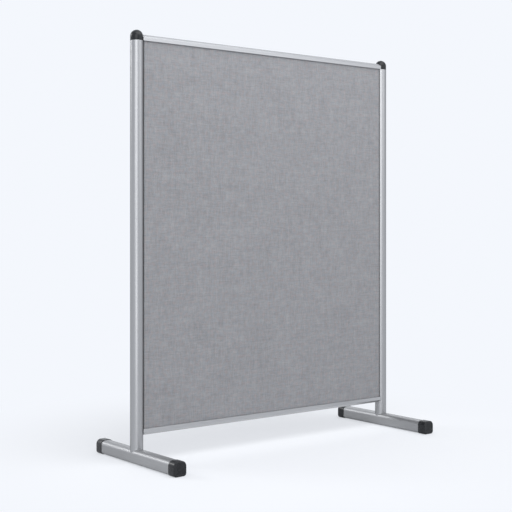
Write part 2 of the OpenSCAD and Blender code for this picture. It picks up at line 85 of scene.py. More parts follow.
class Paint:
    """A material and its node tree. Each call adds one node, and most give back its output."""

    def __init__(self, name, **shader):
        self.material = bpy.data.materials.new(name)
        self.material.use_nodes = True
        self.tree = self.material.node_tree
        self.tree.nodes.clear()
        self.shader = self.tree.nodes.new("ShaderNodeBsdfPrincipled")
        output = self.tree.nodes.new("ShaderNodeOutputMaterial")
        self.tree.links.new(self.shader.outputs[0], output.inputs["Surface"])
        for key, value in shader.items():
            self.set(self.shader, self.title(key), value)
        self.place = self.node("ShaderNodeTexCoord").outputs["Object"]

    @staticmethod
    def title(key):
        return key.replace("_", " ").title().replace("Ior", "IOR")

    def set(self, node, key, value):
        socket = node.inputs[key]
        if isinstance(value, bpy.types.NodeSocket):
            self.tree.links.new(value, socket)
        elif socket.type == "RGBA" and len(value) == 3:
            socket.default_value = (*value, 1)
        else:
            socket.default_value = value

    def node(self, kind, sockets=(), **properties):
        made = self.tree.nodes.new(kind)
        for key, value in properties.items():
            setattr(made, key, value)
        for key, value in dict(sockets).items():
            self.set(made, key, value)
        return made

    def math(self, operation, a, b=0.0, c=0.0):
        return self.node("ShaderNodeMath", {0: a, 1: b, 2: c}, operation=operation).outputs[0]

    def vector(self, operation, a, b):
        return self.node("ShaderNodeVectorMath", {0: a, 1: b}, operation=operation).outputs[0]

    def noise(self, scale, detail=2.0, rough=0.5, place=None, warp=0.0):
        """Noise with one scale, or with one for each axis, in features per metre."""
        if isinstance(scale, float):
            scale = (scale, scale, scale)
        stretched = self.vector("MULTIPLY", place or self.place, scale)
        sockets = {"Vector": stretched, "Scale": 1.0, "Detail": detail, "Roughness": rough,
                   "Distortion": warp}
        return self.node("ShaderNodeTexNoise", sockets).outputs["Fac"]

    def spread(self, value, low, high, to_low=0.0, to_high=1.0, smooth=False):
        """A value's range laid over another range, and cut off at its ends."""
        sockets = {0: value, 1: low, 2: high, 3: to_low, 4: to_high}
        kind = "SMOOTHSTEP" if smooth else "LINEAR"
        return self.node("ShaderNodeMapRange", sockets, interpolation_type=kind).outputs[0]

    def mix(self, factor, a, b):
        made = self.node("ShaderNodeMix", data_type="RGBA")
        for key, value in ((0, factor), (6, a), (7, b)):
            self.set(made, key, value)
        return made.outputs[2]

    def bump(self, height, distance, strength=1.0, under=None):
        sockets = {"Height": height, "Distance": distance, "Strength": strength}
        if under is not None:
            sockets["Normal"] = under
        return self.node("ShaderNodeBump", sockets).outputs[0]

    def soft_edges(self, radius):
        """Normal that turns smoothly over the edges."""
        return self.node("ShaderNodeBevel", {"Radius": radius}, samples=4).outputs[0]

    def finish(self, **links):
        for key, value in links.items():
            self.set(self.shader, self.title(key), value)
        return self.material


def drawn_out(axis, across, along):
    """Scales of a noise that is drawn out along one axis."""
    return [along if i == axis else across for i in range(3)]


def satin_metal(name, axis, bright=1.0, edge=0.0006, matt=0.31, coat=0.0, metallic=1.0, rim=1.0):
    """Anodised extrusion: fine die lines along one axis, with a soft satin sheen.

    Its colour is scaled by bright, the shading turns over edges within a radius of edge, matt is
    the least roughness, and rim scales the reflection at a grazing view.
    """
    paint = Paint(name, metallic=metallic, coat_weight=coat, coat_roughness=0.25,
                  specular_tint=(rim, rim, rim))
    lines = paint.noise(drawn_out(axis, 1400.0, 9.0), 3.0, 0.6)
    bands = paint.noise(drawn_out(axis, 160.0, 2.2), 2.0, 0.5)
    cloud = paint.noise(5.0, 3.0, 0.55)
    tone = paint.math("ADD", paint.spread(lines, 0.3, 0.7, -0.5, 0.5),
                      paint.spread(bands, 0.3, 0.7, -0.5, 0.5))
    low = [bright * c for c in (0.346, 0.350, 0.359)]
    high = [bright * c for c in (0.386, 0.390, 0.399)]
    color = paint.mix(paint.spread(tone, -1.0, 1.0), low, high)
    rough = paint.math("ADD", paint.spread(lines, 0.25, 0.75, matt, matt + 0.08),
                       paint.spread(cloud, 0.3, 0.7, -0.015, 0.015))
    normal = paint.bump(lines, 0.00002, 0.5, paint.soft_edges(edge))
    return paint.finish(base_color=color, roughness=rough, normal=normal)


def plastic(name):
    """Moulded black plastic: fine spark-eroded grain, with a painted highlight that makes its
    convex edges a little lighter.
    """
    paint = Paint(name, specular_ior_level=0.30)
    grain = paint.noise(2600.0, 2.0, 0.55)
    cloud = paint.noise(38.0, 3.0, 0.55)
    # painted highlight: convex edges, found by the mesh's pointiness, are mixed towards a lighter
    # colour
    edge = paint.spread(paint.node("ShaderNodeNewGeometry").outputs["Pointiness"], 0.52, 0.60,
                        smooth=True)
    base = paint.mix(paint.spread(cloud, 0.35, 0.7), (0.010, 0.011, 0.0135),
                     (0.0145, 0.016, 0.019))
    color = paint.mix(paint.math("MULTIPLY", edge, 0.35), base, (0.055, 0.057, 0.062))
    rough = paint.spread(cloud, 0.3, 0.7, 0.24, 0.31)
    return paint.finish(base_color=color, roughness=rough, normal=paint.bump(grain, 0.00006, 0.35))


YARN_PITCH = 0.0011


def melange_fabric(name):
    """Plain weave of grey melange yarn with slubs both ways, and painted shade in the low places of
    the weave, in the cloth's own flat metres.
    """
    paint = Paint(name, roughness=0.92, specular_ior_level=0.25, sheen_weight=0.12,
                  sheen_roughness=0.45)
    cloth = paint.node("ShaderNodeUVMap", uv_map="cloth").outputs[0]
    moved = paint.vector("ADD", cloth, (3.7, 9.1, 0.0))
    axes = paint.node("ShaderNodeSeparateXYZ", {0: cloth})

    def yarn(axis):
        turns = paint.math("MULTIPLY", axes.outputs[axis], math.pi / YARN_PITCH)
        return paint.math("SINE", turns)

    def height(thread, lowest, highest):
        crossing = paint.spread(over, -1, 1, lowest, highest)
        return paint.math("MULTIPLY", paint.math("ABSOLUTE", thread), crossing)

    def swing(value, amount):
        return paint.spread(value, 0.3, 0.7, -amount, amount)

    warp, weft = yarn(0), yarn(1)
    over = paint.math("SIGN", paint.math("MULTIPLY", warp, weft))
    warp_h = height(warp, 0.55, 1.0)
    weft_h = height(weft, 1.0, 0.55)
    weave = paint.math("MAXIMUM", warp_h, weft_h)
    warp_on_top = paint.math("GREATER_THAN", warp_h, weft_h)

    warp_slub = paint.noise((210.0, 30.0, 1.0), 2.0, 0.55, cloth)
    weft_slub = paint.noise((30.0, 210.0, 1.0), 2.0, 0.55, moved)
    tone = paint.math("ADD", swing(warp_slub, 1.0), swing(weft_slub, 1.0))
    for value, amount in (
        (paint.noise((260.0, 260.0, 1.0), 2.0, 0.6, cloth), 0.5),
        (paint.noise((30.0, 30.0, 1.0), 3.0, 0.6, cloth), 0.75),
        (paint.noise((7.0, 7.0, 1.0), 3.0, 0.6, moved), 0.5),
        (paint.noise((64.0, 7.0, 1.0), 2.0, 0.55, cloth), 0.5),
        (paint.noise((7.0, 64.0, 1.0), 2.0, 0.55, moved), 0.5),
    ):
        tone = paint.math("ADD", tone, swing(value, amount))
    tone = paint.math("ADD", tone, paint.spread(warp_on_top, 0.0, 1.0, -0.2, 0.2))
    color = paint.mix(paint.spread(tone, -3.0, 3.0), (0.221, 0.226, 0.242), (0.370, 0.377, 0.398))
    hue = paint.noise((75.0, 75.0, 1.0), 2.0, 0.6, moved)
    color = paint.mix(paint.spread(hue, 0.5, 0.7, 0.0, 0.34), color, (0.37, 0.285, 0.29))
    color = paint.mix(paint.spread(hue, 0.5, 0.3, 0.0, 0.26), color, (0.25, 0.305, 0.37))
    # painted shade: the low places of the weave, between the yarns, are mixed towards dark grey
    color = paint.mix(paint.spread(weave, 0.15, 0.75, 0.28, 0.0), color, (0.155, 0.157, 0.168))
    coarse = paint.bump(paint.math("ADD", warp_slub, weft_slub), 0.0007, 0.5)
    return paint.finish(base_color=color, normal=paint.bump(weave, 0.0003, 0.7, coarse))


def felt(name, low, high, scale=700.0):
    """Needled felt or pressed fibre: short fibres lying every way."""
    paint = Paint(name, roughness=0.97, specular_ior_level=0.15, sheen_weight=0.15)
    fibre = paint.noise(scale, 5.0, 0.75, warp=1.4)
    tuft = paint.noise(60.0, 3.0, 0.6)
    color = paint.mix(paint.spread(paint.math("ADD", fibre, tuft), 0.6, 1.4), low, high)
    return paint.finish(base_color=color, normal=paint.bump(fibre, 0.0006, 0.8))


def timber(name, axis):
    """Sawn softwood with its grain along one axis."""
    paint = Paint(name, roughness=0.72, specular_ior_level=0.3)
    scale = drawn_out(axis, 90.0, 3.0)
    grain = paint.noise(scale, 4.0, 0.55, warp=0.6)
    ring = paint.math("SINE", paint.math("MULTIPLY", grain, 46.0))
    pores = paint.noise([s * 12 for s in scale], 2.0, 0.6)
    color = paint.mix(paint.spread(ring, -1, 1), (0.60, 0.42, 0.24), (0.76, 0.59, 0.38))
    color = paint.mix(paint.spread(pores, 0.55, 0.75, 0.0, 0.4), color, (0.42, 0.28, 0.15))
    return paint.finish(base_color=color, normal=paint.bump(pores, 0.0002, 0.5))


def hardboard(name):
    """Hardboard: dense brown fibre."""
    paint = Paint(name, roughness=0.6, specular_ior_level=0.35)
    fibre = paint.noise(350.0, 5.0, 0.7, warp=0.8)
    color = paint.mix(paint.spread(fibre, 0.3, 0.7), (0.20, 0.12, 0.065), (0.34, 0.22, 0.13))
    return paint.finish(base_color=color, normal=paint.bump(fibre, 0.0001, 0.4))


def plated_steel(name, low, high, rough):
    """Plated or blackened steel: cloudy plating with fine tumbling marks."""
    paint = Paint(name, metallic=1.0)
    cloud = paint.noise(240.0, 4.0, 0.6)
    marks = paint.noise(2200.0, 2.0, 0.6)
    color = paint.mix(paint.spread(cloud, 0.3, 0.7), low, high)
    return paint.finish(base_color=color,
                        roughness=paint.spread(cloud, 0.3, 0.7, rough, rough + 0.14),
                        normal=paint.bump(marks, 0.00004, 0.5))


def rubber(name):
    """Matte black rubber with a dusty bloom."""
    paint = Paint(name, specular_ior_level=0.35)
    bloom = paint.noise((90.0, 90.0, 14.0), 4.0, 0.6)
    grain = paint.noise(1500.0, 2.0, 0.6)
    color = paint.mix(paint.spread(bloom, 0.35, 0.7), (0.045, 0.045, 0.048),
                      (0.080, 0.080, 0.085))
    return paint.finish(base_color=color, roughness=paint.spread(bloom, 0.3, 0.7, 0.68, 0.85),
                        normal=paint.bump(grain, 0.00008, 0.5))


METAL_X = satin_metal("satin_metal_x", 0, bright=1.18, edge=0.0015, coat=0.6)
METAL_Y = satin_metal("satin_metal_y", 1, bright=0.93, matt=0.41, metallic=0.8)
METAL_Z = satin_metal("satin_metal_z", 2, rim=0.55)
PLASTIC = plastic("black_plastic")
FABRIC = melange_fabric("melange_fabric")
WADDING = felt("wadding", (0.62, 0.62, 0.60), (0.82, 0.82, 0.80))
ABSORBER = felt("absorber", (0.42, 0.36, 0.22), (0.66, 0.58, 0.40), 420.0)
TIMBER_X = timber("timber_x", 0)
TIMBER_Z = timber("timber_z", 2)
BOARD = hardboard("board")
ZINC = plated_steel("zinc_steel", (0.46, 0.46, 0.47), (0.62, 0.62, 0.63), 0.26)
DARK = plated_steel("dark_steel", (0.055, 0.055, 0.058), (0.11, 0.11, 0.115), 0.34)
RUBBER = rubber("seal_rubber")

# Materials of the pieces made below, by slot
SLOT_MATERIALS = {"black_plastic": PLASTIC, "melange_fabric": FABRIC, "wadding": WADDING,
                  "absorber": ABSORBER, "zinc_steel": ZINC, "seal_rubber": RUBBER}

for names, material in (
    (("left_post", "right_post", "left_foot_seat", "right_foot_seat"), METAL_Z),
    (("top_rail", "bottom_rail", "top_left_end_plug", "top_right_end_plug",
      "bottom_left_end_plug", "bottom_right_end_plug"), METAL_X),
    (("left_foot_tube", "right_foot_tube"), METAL_Y),
    (("left_post_insert", "right_post_insert", "left_clamp_plate", "right_clamp_plate",
      "left_foot_washer", "right_foot_washer", "keyhole_plates", "post_rivets"), ZINC),
    (("left_foot_bolt", "right_foot_bolt", "left_spring_washer", "right_spring_washer",
      "corner_screws", "keyhole_plate_screws", "hanger_screws"), DARK),
    (("top_batten", "bottom_batten"), TIMBER_X),
    (("left_batten", "right_batten"), TIMBER_Z),
    (("septum_board",), BOARD),
):
    for name in names:
        mesh = NODES[name].data
        mesh.materials.clear()
        mesh.materials.append(material)


# Mesh tools

SHARP_ANGLE = math.radians(40)
LATHE_STEPS = 96


def make(name, vertices, faces, slot, body, node):
    """One piece of the object in place of a solid, with its normals outwards."""
    mesh = bpy.data.meshes.new(name)
    mesh.from_pydata([tuple(v) for v in vertices], [], [tuple(f) for f in faces])
    mesh.validate()
    work = bmesh.new()
    work.from_mesh(mesh)
    bmesh.ops.recalc_face_normals(work, faces=work.faces)
    work.to_mesh(mesh)
    work.free()
    mesh.materials.append(SLOT_MATERIALS[slot])
    mesh.shade_smooth()
    mesh.set_sharp_from_angle(angle=SHARP_ANGLE)
    piece = bpy.data.objects.new(name, mesh)
    bpy.context.scene.collection.objects.link(piece)
    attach(piece, body)
    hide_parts(node)
    return piece


class Solid:
    """Vertices and faces of one piece, gathered from closed skins."""

    def __init__(self):
        self.vertices = []
        self.faces = []

    def loft(self, rings):
        """A skin over rings of as many points each, closed by a flat face at both ends."""
        start = len(self.vertices)
        count = len(rings[0])
        for ring in rings:
            self.vertices += [tuple(p) for p in ring]
        for i in range(len(rings) - 1):
            a = start + i * count
            b = a + count
            for j in range(count):
                k = (j + 1) % count
                self.faces.append((a + j, a + k, b + k, b + j))
        last = start + (len(rings) - 1) * count
        self.faces.append(tuple(range(start + count - 1, start - 1, -1)))
        self.faces.append(tuple(range(last, last + count)))

    def lathe(self, profile, centre):
        """A profile of (radius, height) turned about Z, its first and last points on the axis."""
        x, y, z = centre
        start = len(self.vertices)
        turns = [2 * math.pi * k / LATHE_STEPS for k in range(LATHE_STEPS)]
        self.vertices.append((x, y, z + profile[0][1]))
        for radius, height in profile[1:-1]:
            self.vertices += [(x + radius * math.cos(a), y + radius * math.sin(a), z + height)
                              for a in turns]
        self.vertices.append((x, y, z + profile[-1][1]))
        last = len(self.vertices) - 1
        first_ring = start + 1
        last_ring = last - LATHE_STEPS
        for k in range(LATHE_STEPS):
            n = (k + 1) % LATHE_STEPS
            self.faces.append((start, first_ring + n, first_ring + k))
            for a in range(first_ring, last_ring, LATHE_STEPS):
                b = a + LATHE_STEPS
                self.faces.append((a + k, a + n, b + n, b + k))
            self.faces.append((last_ring + k, last_ring + n, last))


def arc(centre, radius, start, end, steps):
    """Points on an arc, its angles in degrees."""
    angles = [math.radians(start + (end - start) * i / steps) for i in range(steps + 1)]
    return [(centre[0] + radius * math.cos(a), centre[1] + radius * math.sin(a)) for a in angles]


def smoothstep(x):
    x = np.clip(x, 0.0, 1.0)
    return x * x * (3 - 2 * x)


def grid_sheet(outer, inner, kept):
    """Vertices, faces and grid places of a sheet between two grids of points, on the kept cells."""
    cells = {(int(i), int(j)) for i, j in zip(*np.nonzero(kept))}
    used = sorted({(i + a, j + b) for i, j in cells for a in (0, 1) for b in (0, 1)})
    number = {place: k for k, place in enumerate(used)}
    count = len(used)
    vertices = [outer[p] for p in used] + [inner[p] for p in used]
    faces = []
    for i, j in sorted(cells):
        corners = [(i, j), (i + 1, j), (i + 1, j + 1), (i, j + 1)]
        ring = [number[c] for c in corners]
        faces.append(ring)
        faces.append([k + count for k in reversed(ring)])
        for side, (di, dj) in enumerate(((0, -1), (1, 0), (0, 1), (-1, 0))):
            if (i + di, j + dj) not in cells:
                p, q = ring[side], ring[(side + 1) % 4]
                faces.append((q, p, p + count, q + count))
    return vertices, faces, used


# Fabric covers, with the padding and slabs inside them, and the strips beside them

CLOTH_T = 0.0009
EDGE_R = 0.0045      # turn of the cloth at the top and the bottom, inside the rails
FOLD_R = 0.0025      # fold of the cloth at the hollow sides
HEM_GAP = 0.00015    # the cloth stops this far from the middle of the panel
FIELD_STEP = 0.012
EDGE_PLACES = (0.0, 0.0015, 0.0030, 0.0050, 0.0075, 0.010, 0.013, 0.016, 0.020, 0.025)
TINY = 1e-12         # least length of a normal to divide by
CLOSE = 1e-6         # depths as near as this count as the same
COVE_STEPS = 3
FOLD_STEPS = 7
TURN_STEPS = 3
BEND_STEPS = 6
WINDOW_HALF = 0.006  # half the width of the openings at the hangers
WINDOW_DROP = 0.020
HANGER_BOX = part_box("hanger_screws")
HANGER_HEAD_R = (HANGER_BOX[1].y - HANGER_BOX[0].y) / 2
HANGER_Z = (HANGER_BOX[0].z + HANGER_HEAD_R, HANGER_BOX[1].z - HANGER_HEAD_R)
WINDOWS = [(h - WINDOW_DROP, h + WINDOW_HALF) for h in HANGER_Z]
FOLD_H = HALF_T - FOLD_R
FOLD_X = POST_X - math.sqrt((COVE_R + FOLD_R) ** 2 - FOLD_H ** 2)

# How deep the stretched cloth lies under its solid's face
SINK = 0.0002        # of the whole face
SINK_OVER = 0.02     # width beside the folds over which it grows
FURROW = 0.0003      # of the furrow along each fold
FURROW_AT = 0.008
FURROW_W = 0.004
TUCK = 0.0007        # where the rails hold the cloth
TUCK_OVER = 0.003    # height over which it fades
SAG = 0.00024        # of the field inside the edges
SAG_FROM = 0.01      # distance of the field from the edges
SAG_OVER = 0.05      # width over which it grows
WAVE = 0.00012       # of each wave in the field
WAVES = ((5.1, 1.3, 1), (-2.2, 3.4, 2))


def face_rows(half):
    """Rows from the edge of the flat face to its middle, close together at the edge."""
    inner = half - EDGE_PLACES[-1]
    count = round(inner / FIELD_STEP)
    return ([(half - e, 0.0) for e in EDGE_PLACES]
            + [(inner * (1 - i / count), 0.0) for i in range(1, count + 1)])


def side_rows():
    """Rows from a hollow side, round its fold, to the middle of the face."""
    lean = math.asin(FOLD_H / (COVE_R + FOLD_R))
    window = math.asin(WINDOW_HALF / COVE_R)
    angles = [*np.linspace(math.asin(HEM_GAP / COVE_R), window, COVE_STEPS + 1),
              *np.linspace(window, lean, COVE_STEPS + 1)[1:]]
    cove = [(POST_X - COVE_R * math.cos(a), HALF_T - COVE_R * math.sin(a)) for a in angles]
    fold = [(FOLD_X + FOLD_R * math.cos(a), FOLD_R * (1 - math.sin(a)))
            for a in np.linspace(-lean, math.pi / 2, FOLD_STEPS + 1)[1:-1]]
    return cove + fold + face_rows(FOLD_X)


def end_rows():
    """Rows from the turned-in top or bottom edge to the middle of the face."""
    half = (PANEL_Z[1] - PANEL_Z[0]) / 2
    turned = [(half, d) for d in np.linspace(HALF_T - HEM_GAP, EDGE_R, TURN_STEPS + 1)]
    bend = [(half - EDGE_R + x, EDGE_R - y)
            for x, y in arc((0, 0), EDGE_R, 0, 90, BEND_STEPS)[1:-1]]
    return turned + bend + face_rows(half - EDGE_R)


def flat_rows(half):
    """Every row from one free edge to the other: flat distance from the middle, place and depth."""
    rows = half + [(-place, depth) for place, depth in half[-2::-1]]
    steps = [math.hypot(q[0] - p[0], q[1] - p[1]) for p, q in zip(rows, rows[1:])]
    run = np.concatenate([[0.0], np.cumsum(steps)])
    return np.array([(run[-1] / 2 - r, *row) for r, row in zip(run, rows)])


def with_cuts(rows, cuts):
    """Rows of the flat face with some moved exactly onto the edges of openings."""
    rows = rows.copy()
    for cut in cuts:
        near = int(np.argmin(abs(rows[:, 1] - cut)))
        rows[near, :2] = cut
    return rows


def waves(turns, x, z, side):
    """A wave over a sheet for each set of turns: by x, by z, and by the side."""
    return [np.sin(a * x + b * z + c * side) for a, b, c in turns]


def cloth_sink(x, z, side):
    """Depth of the stretched cloth under its solid's face."""
    edge = FOLD_X - abs(x)
    height = np.minimum(z - LIP_Z[0], LIP_Z[1] - z)
    pull = (SINK * smoothstep(edge / SINK_OVER)
            + FURROW * np.exp(-(((edge - FURROW_AT) / FURROW_W) ** 2)))
    tuck = TUCK * (1 - smoothstep(height / TUCK_OVER))
    field = (smoothstep((edge - SAG_FROM) / SAG_OVER)
             * smoothstep((height - SAG_FROM) / SAG_OVER))
    return pull + tuck + field * (SAG + WAVE * sum(waves(WAVES, x, z, side)))


def cover(end):
    """Cloth over one face, turned in over the rails' edges and round the hollow sides."""
    side = COVERS[end]
    across = flat_rows(side_rows())
    along = flat_rows(end_rows())
    along = with_cuts(along, [z - PANEL_MID_Z for window in WINDOWS for z in window])
    _, x, dx = (column[:, None] for column in across.T)
    _, z, dz = (column[None, :] for column in along.T)
    z = z + PANEL_MID_Z
    fade = 1 - np.clip(np.maximum(dx, dz) / FOLD_R, 0, 1)
    depth = np.minimum(dx + dz + cloth_sink(x, z, side) * fade, HALF_T - HEM_GAP)
    outer = np.stack(np.broadcast_arrays(x, MID_Y + side * (HALF_T - depth), z), axis=2)
    normal = np.cross(np.gradient(outer, axis=0), np.gradient(outer, axis=1))
    normal /= np.maximum(np.linalg.norm(normal, axis=2, keepdims=True), TINY)
    if normal[len(across) // 2, len(along) // 2, 1] * side < 0:
        normal = -normal
    inner = outer - normal * CLOTH_T

    deep_x = np.maximum(across[:-1, 2], across[1:, 2])[:, None]
    deep_z = np.maximum(along[:-1, 2], along[1:, 2])[None, :]
    mid_z = ((along[:-1, 1] + along[1:, 1]) / 2)[None, :] + PANEL_MID_Z
    in_window = np.any([(mid_z > low) & (mid_z < high) for low, high in WINDOWS], axis=0)
    past_window = np.minimum(across[:-1, 2], across[1:, 2])[:, None] > HALF_T - WINDOW_HALF - CLOSE
    kept = ~((deep_x > 0) & (deep_z > 0)) & ~(past_window & in_window)

    vertices, faces, used = grid_sheet(outer, inner, kept)
    piece = make(f"{end}_cover", vertices, faces, "melange_fabric", "screen", f"{end}_fabric")
    layer = piece.data.uv_layers.new(name="cloth")
    flat = [(across[i, 0], along[j, 0]) for i, j in used] * 2
    for loop in piece.data.loops:
        layer.data[loop.index].uv = flat[loop.vertex_index]


PADDING_AIR = 0.0001
PADDING_SIDE_AIR = 0.0004
PADDING_R = 0.0015
SLAB_AIR = 0.0002
SLAB_R = 0.002
SLAB_SINK = 0.0003
SLAB_WAVE = 0.0002
SLAB_WAVES = ((23.0, 7.0, 1), (-5.0, 19.0, 0))
SOFT_STEP = 0.03
SOFT_EDGE = np.array([0.0, 0.08, 0.2, 0.4, 0.7])  # places over a rounded edge, as shares of it


def rounded_rows(low, high, radius):
    """Places from one edge of a soft sheet to the other, close together over its rounded edges."""
    inner = np.linspace(low + radius, high - radius, round((high - low) / SOFT_STEP) + 1)
    return np.concatenate([low + radius * SOFT_EDGE, inner, high - radius * SOFT_EDGE[::-1]])


def edge_fall(places, radius):
    """Fall of a rounded edge at each place, for the first and last of the places."""
    near = np.minimum(places - places[0], places[-1] - places)
    share = 1 - np.clip(near / radius, 0, 1)
    return radius * (1 - np.sqrt(1 - share ** 2))


def soft_sheet(name, node, slot, x_half, radius, air, crown):
    """Soft sheet of the panel with rounded edges, in place of a solid.

    Its face lies at crown(x, z) from the panel's middle, and nowhere past the solid's own face.
    """
    low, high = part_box(node)
    base, top = sorted((low.y - MID_Y, high.y - MID_Y), key=abs)
    side = math.copysign(1, top)
    xs = rounded_rows(-x_half, x_half, radius)
    zs = rounded_rows(low.z + air, high.z - air, radius)
    x, z = np.meshgrid(xs, zs, indexing="ij")
    fall = np.maximum(edge_fall(xs, radius)[:, None], edge_fall(zs, radius)[None, :])
    face = side * (np.minimum(abs(top), crown(x, z)) - fall)
    outer = np.stack([x, MID_Y + face, z], axis=2)
    inner = np.stack([x, np.full_like(x, MID_Y + base), z], axis=2)
    vertices, faces, _ = grid_sheet(outer, inner, np.ones((len(xs) - 1, len(zs) - 1)))
    piece = make(name, vertices, faces, slot, "screen", node)


def padding(end):
    """Wadding under one cover, pressed by the stretched cloth."""
    x_half = FOLD_X + FOLD_R - CLOTH_T - PADDING_SIDE_AIR

    def crown(x, z):
        return HALF_T - cloth_sink(x, z, COVERS[end]) - CLOTH_T - PADDING_AIR

    soft_sheet(f"{end}_padding", f"{end}_wadding", "wadding", x_half, PADDING_R,
               PADDING_AIR, crown)


def slab(end):
    """Pressed fibre slab between the board and the wadding, with a slightly uneven face."""
    node = f"{end}_absorber"
    low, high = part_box(node)
    height = max(MID_Y - low.y, high.y - MID_Y)

    def crown(x, z):
        uneven = math.prod(waves(SLAB_WAVES, x, z, COVERS[end]))
        return height - SLAB_SINK - SLAB_WAVE * uneven

    soft_sheet(f"{end}_slab", node, "absorber", high.x - SLAB_AIR, SLAB_R, SLAB_AIR, crown)


SEAL_AIR = 0.0001
SEAL_END_AIR = 0.0003
SEAL_SINK = 0.0006
SEAL_SIDE_STEPS = 7
SEAL_MIDDLE_STEPS = 3


def side_seal(side_name):
    """Soft strip in the gap beside a post, reaching almost to both faces, open at the hangers."""
    side = SIDES[side_name]
    window = math.asin(WINDOW_HALF / (POST_R + SEAL_AIR))
    middle = np.linspace(-window, window, SEAL_MIDDLE_STEPS + 1)
    share = np.linspace(0, 1, SEAL_SIDE_STEPS + 1)[1:]
    heights = [LIP_Z[0] + SEAL_END_AIR, *WINDOWS[0], *WINDOWS[1], LIP_Z[1] - SEAL_END_AIR]
    z = np.array(heights)[None, :]

    def skin(radius):
        half = window + (math.asin((HALF_T - SEAL_SINK) / radius) - window) * share
        turn = np.array([*-half[::-1], *middle, *half])[:, None]
        return np.stack(np.broadcast_arrays(side * (POST_X - radius * np.cos(turn)),
                                            MID_Y + radius * np.sin(turn), z), axis=2)

    kept = np.ones((2 * SEAL_SIDE_STEPS + SEAL_MIDDLE_STEPS, len(heights) - 1))
    kept[SEAL_SIDE_STEPS:-SEAL_SIDE_STEPS, [1, 3]] = 0
    vertices, faces, _ = grid_sheet(skin(POST_R + SEAL_AIR), skin(COVE_R - SEAL_AIR), kept)
    make(f"{side_name}_seal_strip", vertices, faces, "seal_rubber", "screen",
         f"{side_name}_side_seal")


for end in COVERS:
    cover(end)
    padding(end)
    slab(end)
for side_name in SIDES:
    side_seal(side_name)


# Plastic caps

POST_WALL = 0.002
CAP_PLUG_LEN = 0.018
CAP_SKIRT = 0.016
CAP_WALL = 0.0025
CAP_PLUG_R = POST_R - POST_WALL - 0.00015
CAP_RIB_R = POST_R - POST_WALL - 0.00005
CAP_RIB_H = 0.0015
CAP_RIB_EDGE = 0.0001
CAP_RIBS = 3
CAP_LIP_R = 0.0006
LIP_STEPS = 4
HOLLOW_STEPS = 20
DOME_STEPS = 28


def post_dome(side_name):
    """Domed cap on a post: ribbed plug, rounded lip at the joint, skirt, and hollow dome."""
    node = f"{side_name}_post_cap"
    low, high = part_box(node)
    centre = ((low.x + high.x) / 2, (low.y + high.y) / 2, high.z - CAP_SKIRT - POST_R)
    hollow_r = CAP_PLUG_R - CAP_WALL
    inside = [(hollow_r, -CAP_PLUG_LEN), (hollow_r, CAP_SKIRT)]
    inside += arc((0, CAP_SKIRT), hollow_r, 0, 90, HOLLOW_STEPS)[1:-1]
    profile = [(0, CAP_SKIRT + hollow_r)] + inside[::-1]
    profile += [(CAP_PLUG_R - CAP_LIP_R, -CAP_PLUG_LEN), (CAP_PLUG_R, CAP_LIP_R - CAP_PLUG_LEN)]
    pitch = CAP_PLUG_LEN / CAP_RIBS
    for i in range(CAP_RIBS, 0, -1):
        foot = max(-i * pitch, 2 * CAP_LIP_R - CAP_PLUG_LEN)
        tip = -i * pitch + CAP_RIB_H
        profile += [(CAP_PLUG_R, foot), (CAP_RIB_R, foot + CAP_RIB_EDGE),
                    (CAP_RIB_R, tip - CAP_RIB_EDGE), (CAP_PLUG_R, tip)]
    profile += [(CAP_PLUG_R, 0.0)]
    profile += arc((POST_R - CAP_LIP_R, CAP_LIP_R), CAP_LIP_R, -90, 0, LIP_STEPS)
    profile += [(POST_R, CAP_SKIRT)]
    profile += arc((0, CAP_SKIRT), POST_R, 0, 90, DOME_STEPS)[1:-1]
    profile += [(0, CAP_SKIRT + POST_R)]
    dome = Solid()
    dome.lathe(profile, centre)
    make(f"{side_name}_post_dome", dome.vertices, dome.faces, "black_plastic", "screen", node)


FOOT_CAP_LOW_R = 0.01175
FOOT_CAP_HIGH_R = 0.01875
FOOT_CAP_EDGE = 0.005
FOOT_CAP_WALL = 0.0016
FOOT_CAP_END = 0.004
FOOT_RIM_LEN = 0.010
FOOT_RIM = (0.0044, 0.0064)  # insets of the inner rim's two sides
FOOT_DISH = 0.0012
DISH_EDGE = ((1.0, 0.0095), (1.0, 0.0084), (0.6, 0.0075), (0.12, 0.0064))  # share of depth, inset
MOUTH_R = 0.0004
FOOT_ARC_STEPS = 10
FOOT_EDGE_STEPS = 6


def foot_ring(size, inset):
    """Outline of a foot cap made smaller by an inset, as points (x, z), standing on z = 0."""
    half = size[0] / 2
    high_mid = size[1] - FOOT_CAP_HIGH_R
    points = []
    for x_side, z_mid, radius, start in (
        (1, high_mid, FOOT_CAP_HIGH_R, 0), (-1, high_mid, FOOT_CAP_HIGH_R, 90),
        (-1, FOOT_CAP_LOW_R, FOOT_CAP_LOW_R, 180), (1, FOOT_CAP_LOW_R, FOOT_CAP_LOW_R, 270),
    ):
        middle = (x_side * (half - radius), z_mid)
        points += arc(middle, radius - inset, start, start + 90, FOOT_ARC_STEPS)
    return points


